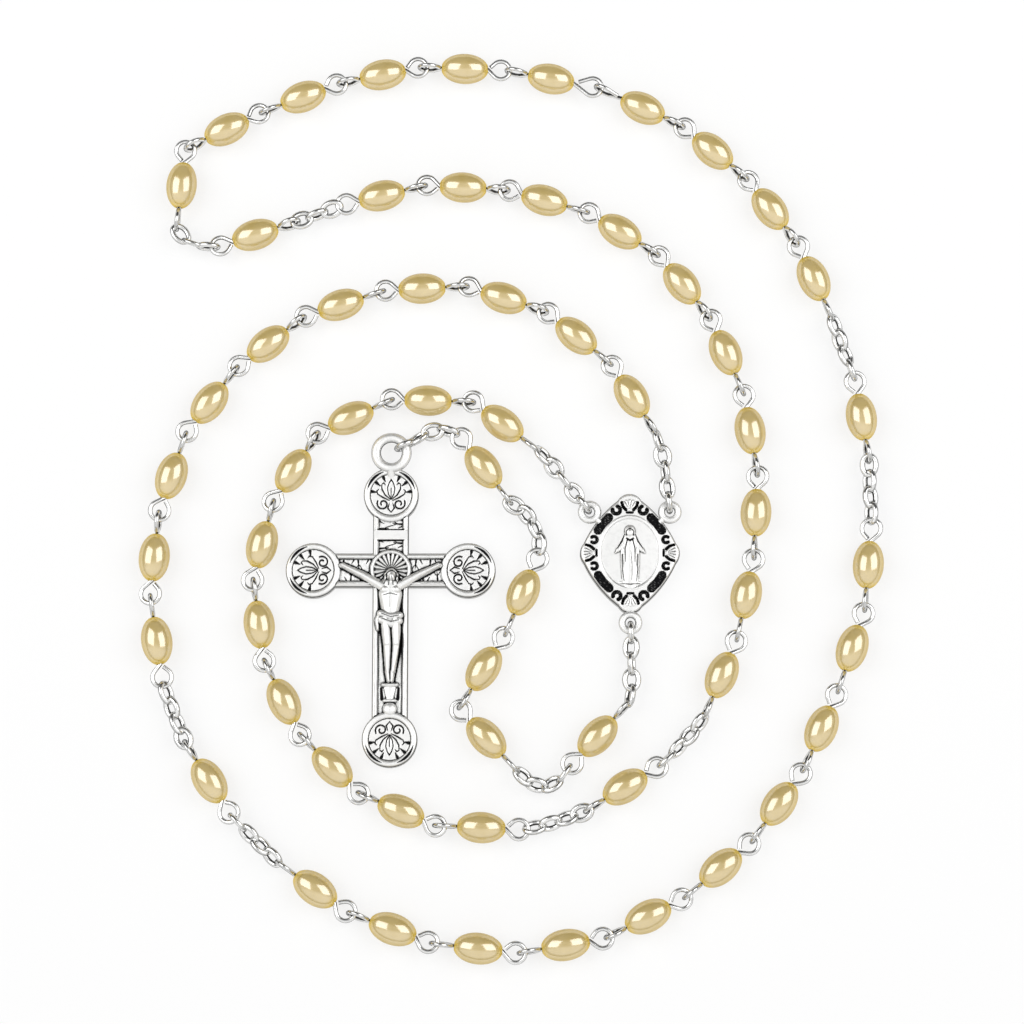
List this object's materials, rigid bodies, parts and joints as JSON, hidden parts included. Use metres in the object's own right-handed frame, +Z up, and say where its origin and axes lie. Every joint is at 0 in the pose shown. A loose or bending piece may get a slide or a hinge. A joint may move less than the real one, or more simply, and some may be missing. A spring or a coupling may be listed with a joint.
{
  "type": "rosary",
  "caption": "Prayer beads laid flat in a loose spiral: oval pearl beads on wire pins, cable chains between groups, a cast centre medal and a cast crucifix.",
  "frame": {"origin": "middle of the medal's flat back, on the surface that the rosary lies on", "axes": "+Z up from the surface, +Y towards the top of the medal, +X to its right"},
  "size_m": [0.0959, 0.1195, 0.0038],
  "materials": {
    "pearl_bead": "pearl lustre",
    "antique_silver": "antiqued silver"
  },
  "bodies": {
    "medal": {"medal": "antique_silver"},
    "decade_1_bead_01": {"decade_1_bead_01": "pearl_bead"},
    "decade_1_bead_02": {"decade_1_bead_02": "pearl_bead"},
    "decade_1_bead_03": {"decade_1_bead_03": "pearl_bead"},
    "decade_1_bead_04": {"decade_1_bead_04": "pearl_bead"},
    "decade_1_bead_05": {"decade_1_bead_05": "pearl_bead"},
    "decade_1_bead_06": {"decade_1_bead_06": "pearl_bead"},
    "decade_1_bead_07": {"decade_1_bead_07": "pearl_bead"},
    "decade_1_bead_08": {"decade_1_bead_08": "pearl_bead"},
    "decade_1_bead_09": {"decade_1_bead_09": "pearl_bead"},
    "decade_1_bead_10": {"decade_1_bead_10": "pearl_bead"},
    "our_father_1": {"our_father_1": "pearl_bead"},
    "decade_2_bead_01": {"decade_2_bead_01": "pearl_bead"},
    "decade_2_bead_02": {"decade_2_bead_02": "pearl_bead"},
    "decade_2_bead_03": {"decade_2_bead_03": "pearl_bead"},
    "decade_2_bead_04": {"decade_2_bead_04": "pearl_bead"},
    "decade_2_bead_05": {"decade_2_bead_05": "pearl_bead"},
    "decade_2_bead_06": {"decade_2_bead_06": "pearl_bead"},
    "decade_2_bead_07": {"decade_2_bead_07": "pearl_bead"},
    "decade_2_bead_08": {"decade_2_bead_08": "pearl_bead"},
    "decade_2_bead_09": {"decade_2_bead_09": "pearl_bead"},
    "decade_2_bead_10": {"decade_2_bead_10": "pearl_bead"},
    "our_father_2": {"our_father_2": "pearl_bead"},
    "decade_3_bead_01": {"decade_3_bead_01": "pearl_bead"},
    "decade_3_bead_02": {"decade_3_bead_02": "pearl_bead"},
    "decade_3_bead_03": {"decade_3_bead_03": "pearl_bead"},
    "decade_3_bead_04": {"decade_3_bead_04": "pearl_bead"},
    "decade_3_beads_05_06": {"decade_3_beads_05_06": "pearl_bead"},
    "decade_5_bead_10": {"decade_5_bead_10": "pearl_bead"},
    "decade_5_bead_09": {"decade_5_bead_09": "pearl_bead"},
    "decade_5_bead_08": {"decade_5_bead_08": "pearl_bead"},
    "decade_5_bead_07": {"decade_5_bead_07": "pearl_bead"},
    "decade_5_bead_06": {"decade_5_bead_06": "pearl_bead"},
    "decade_5_bead_05": {"decade_5_bead_05": "pearl_bead"},
    "decade_5_bead_04": {"decade_5_bead_04": "pearl_bead"},
    "decade_5_bead_03": {"decade_5_bead_03": "pearl_bead"},
    "decade_5_bead_02": {"decade_5_bead_02": "pearl_bead"},
    "decade_5_bead_01": {"decade_5_bead_01": "pearl_bead"},
    "our_father_4": {"our_father_4": "pearl_bead"},
    "decade_4_bead_10": {"decade_4_bead_10": "pearl_bead"},
    "decade_4_bead_09": {"decade_4_bead_09": "pearl_bead"},
    "decade_4_bead_08": {"decade_4_bead_08": "pearl_bead"},
    "decade_4_bead_07": {"decade_4_bead_07": "pearl_bead"},
    "decade_4_bead_06": {"decade_4_bead_06": "pearl_bead"},
    "decade_4_bead_05": {"decade_4_bead_05": "pearl_bead"},
    "decade_4_bead_04": {"decade_4_bead_04": "pearl_bead"},
    "decade_4_bead_03": {"decade_4_bead_03": "pearl_bead"},
    "decade_4_bead_02": {"decade_4_bead_02": "pearl_bead"},
    "decade_4_bead_01": {"decade_4_bead_01": "pearl_bead"},
    "our_father_3": {"our_father_3": "pearl_bead"},
    "decade_3_bead_10": {"decade_3_bead_10": "pearl_bead"},
    "decade_3_bead_09": {"decade_3_bead_09": "pearl_bead"},
    "decade_3_bead_08": {"decade_3_bead_08": "pearl_bead"},
    "decade_3_bead_07": {"decade_3_bead_07": "pearl_bead"},
    "our_father_5": {"our_father_5": "pearl_bead"},
    "hail_mary_1": {"hail_mary_1": "pearl_bead"},
    "hail_mary_2": {"hail_mary_2": "pearl_bead"},
    "hail_mary_3": {"hail_mary_3": "pearl_bead"},
    "our_father_6": {"our_father_6": "pearl_bead"},
    "crucifix": {"crucifix": "antique_silver"}
  },
  "joints": [
    {"name": "decade_1_bead_01_swing", "type": "hinge", "parent": "medal", "child": "decade_1_bead_01", "pos_m": [-0.00585, 0.00622, 0.00148], "axis": [0.7887, 0.6148, 0], "range_deg": [-60, 60]},
    {"name": "decade_1_bead_02_swing", "type": "hinge", "parent": "decade_1_bead_01", "child": "decade_1_bead_02", "pos_m": [-0.02101, 0.01981, 0.002], "axis": [-0.0418, -0.9991, 0], "range_deg": [-60, 60]},
    {"name": "decade_1_bead_03_swing", "type": "hinge", "parent": "decade_1_bead_02", "child": "decade_1_bead_03", "pos_m": [-0.03152, 0.01986, 0.002], "axis": [-0.418, 0.9084, 0], "range_deg": [-60, 60]},
    {"name": "decade_1_bead_04_swing", "type": "hinge", "parent": "decade_1_bead_03", "child": "decade_1_bead_04", "pos_m": [-0.04083, 0.01507, 0.002], "axis": [0.8443, -0.5359, 0], "range_deg": [-60, 60]},
    {"name": "decade_1_bead_05_swing", "type": "hinge", "parent": "decade_1_bead_04", "child": "decade_1_bead_05", "pos_m": [-0.04626, 0.00601, 0.002], "axis": [-0.9704, 0.2414, 0], "range_deg": [-60, 60]},
    {"name": "decade_1_bead_06_swing", "type": "hinge", "parent": "decade_1_bead_05", "child": "decade_1_bead_06", "pos_m": [-0.04849, -0.00429, 0.002], "axis": [0.9887, 0.1501, 0], "range_deg": [-60, 60]},
    {"name": "decade_1_bead_07_swing", "type": "hinge", "parent": "decade_1_bead_06", "child": "decade_1_bead_07", "pos_m": [-0.04666, -0.0147, 0.002], "axis": [-0.9002, -0.4356, 0], "range_deg": [-60, 60]},
    {"name": "decade_1_bead_08_swing", "type": "hinge", "parent": "decade_1_bead_07", "child": "decade_1_bead_08", "pos_m": [-0.04181, -0.02407, 0.002], "axis": [0.7037, 0.7105, 0], "range_deg": [-60, 60]},
    {"name": "decade_1_bead_09_swing", "type": "hinge", "parent": "decade_1_bead_08", "child": "decade_1_bead_09", "pos_m": [-0.0341, -0.03127, 0.002], "axis": [-0.3939, -0.9191, 0], "range_deg": [-60, 60]},
    {"name": "decade_1_bead_10_swing", "type": "hinge", "parent": "decade_1_bead_09", "child": "decade_1_bead_10", "pos_m": [-0.02429, -0.03515, 0.002], "axis": [0.0477, 0.9989, 0], "range_deg": [-60, 60]},
    {"name": "our_father_1_swing", "type": "hinge", "parent": "decade_1_bead_10", "child": "our_father_1", "pos_m": [-0.00523, -0.03294, 0.002], "axis": [0.5248, -0.8512, 0], "range_deg": [-60, 60]},
    {"name": "decade_2_bead_01_swing", "type": "hinge", "parent": "our_father_1", "child": "decade_2_bead_01", "pos_m": [0.00417, -0.02696, 0.00194], "axis": [-0.6727, 0.7399, 0], "range_deg": [-60, 60]},
    {"name": "decade_2_bead_02_swing", "type": "hinge", "parent": "decade_2_bead_01", "child": "decade_2_bead_02", "pos_m": [0.01379, -0.01058, 0.002], "axis": [0.9768, -0.214, 0], "range_deg": [-60, 60]},
    {"name": "decade_2_bead_03_swing", "type": "hinge", "parent": "decade_2_bead_02", "child": "decade_2_bead_03", "pos_m": [0.01599, 0.00008, 0.002], "axis": [-0.9982, 0.0596, 0], "range_deg": [-60, 60]},
    {"name": "decade_2_bead_04_swing", "type": "hinge", "parent": "decade_2_bead_03", "child": "decade_2_bead_04", "pos_m": [0.01647, 0.01096, 0.002], "axis": [0.9887, 0.1502, 0], "range_deg": [-60, 60]},
    {"name": "decade_2_bead_05_swing", "type": "hinge", "parent": "decade_2_bead_04", "child": "decade_2_bead_05", "pos_m": [0.01463, 0.02167, 0.002], "axis": [-0.9219, -0.3873, 0], "range_deg": [-60, 60]},
    {"name": "decade_2_bead_06_swing", "type": "hinge", "parent": "decade_2_bead_05", "child": "decade_2_bead_06", "pos_m": [0.01021, 0.03161, 0.002], "axis": [0.7869, 0.6171, 0], "range_deg": [-60, 60]},
    {"name": "decade_2_bead_07_swing", "type": "hinge", "parent": "decade_2_bead_06", "child": "decade_2_bead_07", "pos_m": [0.00329, 0.03997, 0.002], "axis": [-0.5334, -0.8459, 0], "range_deg": [-60, 60]},
    {"name": "decade_2_bead_08_swing", "type": "hinge", "parent": "decade_2_bead_07", "child": "decade_2_bead_08", "pos_m": [-0.00603, 0.04557, 0.002], "axis": [0.2766, 0.961, 0], "range_deg": [-60, 60]},
    {"name": "decade_2_bead_09_swing", "type": "hinge", "parent": "decade_2_bead_08", "child": "decade_2_bead_09", "pos_m": [-0.01654, 0.0484, 0.002], "axis": [-0.0615, -0.9981, 0], "range_deg": [-60, 60]},
    {"name": "decade_2_bead_10_swing", "type": "hinge", "parent": "decade_2_bead_09", "child": "decade_2_bead_10", "pos_m": [-0.02739, 0.04881, 0.002], "axis": [-0.2369, 0.9715, 0], "range_deg": [-60, 60]},
    {"name": "our_father_2_swing", "type": "hinge", "parent": "decade_2_bead_10", "child": "our_father_2", "pos_m": [-0.04408, 0.04389, 0.002], "axis": [0.3127, -0.9498, 0], "range_deg": [-60, 60]},
    {"name": "decade_3_bead_01_swing", "type": "hinge", "parent": "our_father_2", "child": "decade_3_bead_01", "pos_m": [-0.05471, 0.04072, 0.00193], "axis": [0.0574, 0.9984, 0], "range_deg": [-60, 60]},
    {"name": "decade_3_bead_02_swing", "type": "hinge", "parent": "decade_3_bead_01", "child": "decade_3_bead_02", "pos_m": [-0.05756, 0.05436, 0.002], "axis": [-0.4502, 0.8929, 0], "range_deg": [-60, 60]},
    {"name": "decade_3_bead_03_swing", "type": "hinge", "parent": "decade_3_bead_02", "child": "decade_3_bead_03", "pos_m": [-0.0477, 0.05924, 0.002], "axis": [0.3658, -0.9307, 0], "range_deg": [-60, 60]},
    {"name": "decade_3_bead_04_swing", "type": "hinge", "parent": "decade_3_bead_03", "child": "decade_3_bead_04", "pos_m": [-0.03742, 0.06312, 0.002], "axis": [-0.2055, 0.9787, 0], "range_deg": [-60, 60]},
    {"name": "decade_3_beads_05_06_swing", "type": "hinge", "parent": "decade_3_bead_04", "child": "decade_3_beads_05_06", "pos_m": [-0.02664, 0.06518, 0.002], "axis": [-0.0371, -0.9993, 0], "range_deg": [-60, 60]},
    {"name": "decade_5_bead_10_swing", "type": "hinge", "parent": "medal", "child": "decade_5_bead_10", "pos_m": [0.00509, 0.00644, 0.00148], "axis": [0.9954, 0.0957, 0], "range_deg": [-60, 60]},
    {"name": "decade_5_bead_09_swing", "type": "hinge", "parent": "decade_5_bead_10", "child": "decade_5_bead_09", "pos_m": [-0.00291, 0.02537, 0.002], "axis": [-0.6419, -0.7668, 0], "range_deg": [-60, 60]},
    {"name": "decade_5_bead_08_swing", "type": "hinge", "parent": "decade_5_bead_09", "child": "decade_5_bead_08", "pos_m": [-0.01146, 0.03212, 0.002], "axis": [0.3178, 0.9482, 0], "range_deg": [-60, 60]},
    {"name": "decade_5_bead_07_swing", "type": "hinge", "parent": "decade_5_bead_08", "child": "decade_5_bead_07", "pos_m": [-0.02189, 0.03528, 0.002], "axis": [0.0529, -0.9986, 0], "range_deg": [-60, 60]},
    {"name": "decade_5_bead_06_swing", "type": "hinge", "parent": "decade_5_bead_07", "child": "decade_5_bead_06", "pos_m": [-0.03278, 0.03448, 0.002], "axis": [-0.32, 0.9474, 0], "range_deg": [-60, 60]},
    {"name": "decade_5_bead_05_swing", "type": "hinge", "parent": "decade_5_bead_06", "child": "decade_5_bead_05", "pos_m": [-0.04302, 0.03073, 0.002], "axis": [0.612, -0.7909, 0], "range_deg": [-60, 60]},
    {"name": "decade_5_bead_04_swing", "type": "hinge", "parent": "decade_5_bead_05", "child": "decade_5_bead_04", "pos_m": [-0.05152, 0.02386, 0.002], "axis": [-0.8006, 0.5992, 0], "range_deg": [-60, 60]},
    {"name": "decade_5_bead_03_swing", "type": "hinge", "parent": "decade_5_bead_04", "child": "decade_5_bead_03", "pos_m": [-0.05782, 0.01497, 0.002], "axis": [0.9539, -0.3002, 0], "range_deg": [-60, 60]},
    {"name": "decade_5_bead_02_swing", "type": "hinge", "parent": "decade_5_bead_03", "child": "decade_5_bead_02", "pos_m": [-0.06093, 0.00449, 0.002], "axis": [-0.9962, 0.087, 0], "range_deg": [-60, 60]},
    {"name": "decade_5_bead_01_swing", "type": "hinge", "parent": "decade_5_bead_02", "child": "decade_5_bead_01", "pos_m": [-0.06167, -0.00641, 0.002], "axis": [0.9868, 0.1617, 0], "range_deg": [-60, 60]},
    {"name": "our_father_4_swing", "type": "hinge", "parent": "decade_5_bead_01", "child": "our_father_4", "pos_m": [-0.05656, -0.02512, 0.002], "axis": [-0.8447, -0.5352, 0], "range_deg": [-60, 60]},
    {"name": "decade_4_bead_10_swing", "type": "hinge", "parent": "our_father_4", "child": "decade_4_bead_10", "pos_m": [-0.05045, -0.03442, 0.00194], "axis": [0.7121, 0.702, 0], "range_deg": [-60, 60]},
    {"name": "decade_4_bead_09_swing", "type": "hinge", "parent": "decade_4_bead_10", "child": "decade_4_bead_09", "pos_m": [-0.03516, -0.04643, 0.002], "axis": [-0.34, -0.9404, 0], "range_deg": [-60, 60]},
    {"name": "decade_4_bead_08_swing", "type": "hinge", "parent": "decade_4_bead_09", "child": "decade_4_bead_08", "pos_m": [-0.02463, -0.05003, 0.002], "axis": [0.1135, 0.9935, 0], "range_deg": [-60, 60]},
    {"name": "decade_4_bead_07_swing", "type": "hinge", "parent": "decade_4_bead_08", "child": "decade_4_bead_07", "pos_m": [-0.01356, -0.05106, 0.002], "axis": [0.1712, -0.9852, 0], "range_deg": [-60, 60]},
    {"name": "decade_4_bead_06_swing", "type": "hinge", "parent": "decade_4_bead_07", "child": "decade_4_bead_06", "pos_m": [-0.00265, -0.04891, 0.002], "axis": [-0.4491, 0.8935, 0], "range_deg": [-60, 60]},
    {"name": "decade_4_bead_05_swing", "type": "hinge", "parent": "decade_4_bead_06", "child": "decade_4_bead_05", "pos_m": [0.00721, -0.04375, 0.002], "axis": [0.6335, -0.7737, 0], "range_deg": [-60, 60]},
    {"name": "decade_4_bead_04_swing", "type": "hinge", "parent": "decade_4_bead_05", "child": "decade_4_bead_04", "pos_m": [0.01568, -0.03654, 0.002], "axis": [-0.8062, 0.5916, 0], "range_deg": [-60, 60]},
    {"name": "decade_4_bead_03_swing", "type": "hinge", "parent": "decade_4_bead_04", "child": "decade_4_bead_03", "pos_m": [0.02213, -0.02746, 0.002], "axis": [0.9076, -0.4199, 0], "range_deg": [-60, 60]},
    {"name": "decade_4_bead_02_swing", "type": "hinge", "parent": "decade_4_bead_03", "child": "decade_4_bead_02", "pos_m": [0.02673, -0.01731, 0.002], "axis": [-0.9457, 0.3251, 0], "range_deg": [-60, 60]},
    {"name": "decade_4_bead_01_swing", "type": "hinge", "parent": "decade_4_bead_02", "child": "decade_4_bead_01", "pos_m": [0.03017, -0.00672, 0.002], "axis": [0.9947, -0.1028, 0], "range_deg": [-60, 60]},
    {"name": "our_father_3_swing", "type": "hinge", "parent": "decade_4_bead_01", "child": "our_father_3", "pos_m": [0.03095, 0.01274, 0.002], "axis": [-0.989, -0.1481, 0], "range_deg": [-60, 60]},
    {"name": "decade_3_bead_10_swing", "type": "hinge", "parent": "our_father_3", "child": "decade_3_bead_10", "pos_m": [0.02914, 0.02373, 0.00194], "axis": [0.9442, 0.3293, 0], "range_deg": [-60, 60]},
    {"name": "decade_3_bead_09_swing", "type": "hinge", "parent": "decade_3_bead_10", "child": "decade_3_bead_09", "pos_m": [0.02178, 0.04163, 0.002], "axis": [-0.8072, -0.5903, 0], "range_deg": [-60, 60]},
    {"name": "decade_3_bead_08_swing", "type": "hinge", "parent": "decade_3_bead_09", "child": "decade_3_bead_08", "pos_m": [0.01514, 0.05037, 0.002], "axis": [0.6522, 0.758, 0], "range_deg": [-60, 60]},
    {"name": "decade_3_bead_07_swing", "type": "hinge", "parent": "decade_3_bead_08", "child": "decade_3_bead_07", "pos_m": [0.00668, 0.05736, 0.002], "axis": [-0.4346, -0.9006, 0], "range_deg": [-60, 60]},
    {"name": "our_father_5_swing", "type": "hinge", "parent": "medal", "child": "our_father_5", "pos_m": [0.00003, -0.01015, 0.00148], "axis": [0.9994, 0.0349, 0], "range_deg": [-60, 60]},
    {"name": "hail_mary_1_swing", "type": "hinge", "parent": "our_father_5", "child": "hail_mary_1", "pos_m": [-0.00832, -0.02822, 0.00194], "axis": [-0.8192, 0.5736, 0], "range_deg": [-60, 60]},
    {"name": "hail_mary_2_swing", "type": "hinge", "parent": "hail_mary_1", "child": "hail_mary_2", "pos_m": [-0.02159, -0.01947, 0.002], "axis": [-0.848, 0.5299, 0], "range_deg": [-60, 60]},
    {"name": "hail_mary_3_swing", "type": "hinge", "parent": "hail_mary_2", "child": "hail_mary_3", "pos_m": [-0.0158, -0.00995, 0.002], "axis": [0.9205, -0.3907, 0], "range_deg": [-60, 60]},
    {"name": "our_father_6_swing", "type": "hinge", "parent": "hail_mary_3", "child": "our_father_6", "pos_m": [-0.01585, 0.00709, 0.002], "axis": [-0.7986, -0.6018, 0], "range_deg": [-60, 60]},
    {"name": "crucifix_swing", "type": "hinge", "parent": "our_father_6", "child": "crucifix", "pos_m": [-0.02918, 0.01419, 0.0015], "axis": [-0.5, 0.866, 0], "range_deg": [-60, 60]}
  ]
}
